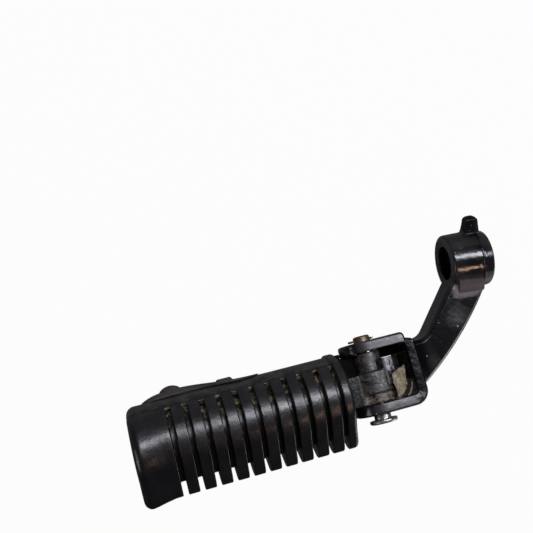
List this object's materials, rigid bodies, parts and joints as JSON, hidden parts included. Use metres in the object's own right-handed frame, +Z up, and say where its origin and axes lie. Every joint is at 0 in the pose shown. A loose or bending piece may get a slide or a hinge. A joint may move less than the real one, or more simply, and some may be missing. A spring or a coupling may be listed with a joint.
{
  "type": "motorcycle footpeg",
  "caption": "Folding rubber motorcycle footpeg on a cranked support arm: a clevis with a hinge pin carries a bar in a slotted rubber grip with a shoe and bank sensor below.",
  "frame": {"origin": "middle of the bolt bore of the support arm's boss", "axes": "+X outboard along the bolt bore, +Y towards the front of the motorcycle, +Z up; the peg is the right-hand one, folded down for use"},
  "size_m": [0.1807, 0.0847, 0.0792],
  "materials": {
    "black_paint": "glossy black paint with small chips",
    "dusty_paint": "matte dark paint under road dust",
    "pin_steel": "bright plated steel",
    "dull_steel": "dull steel with light rust",
    "worn_steel": "dark forging with bright worn heel",
    "grip_rubber": "semi-gloss black rubber with dust in the grooves"
  },
  "bodies": {
    "bracket": {"support_arm": "black_paint", "clevis_bracket": "black_paint", "weld_bead_outboard": "black_paint", "weld_bead_inboard": "black_paint", "pivot_pin": "pin_steel", "split_pin": "dull_steel"},
    "peg": {"knuckle_bar": "worn_steel", "grip_rubber": "grip_rubber", "retaining_plate": "dusty_paint", "bank_sensor": "dull_steel", "plate_bolt": "dull_steel", "plate_washer": "dull_steel"}
  },
  "joints": [
    {"name": "peg_fold", "type": "hinge", "parent": "bracket", "child": "peg", "pos_m": [0.0545, 0.038, 0.029], "axis": [0.08, -0.7071, -0.7026], "range_deg": [0, 90]}
  ]
}
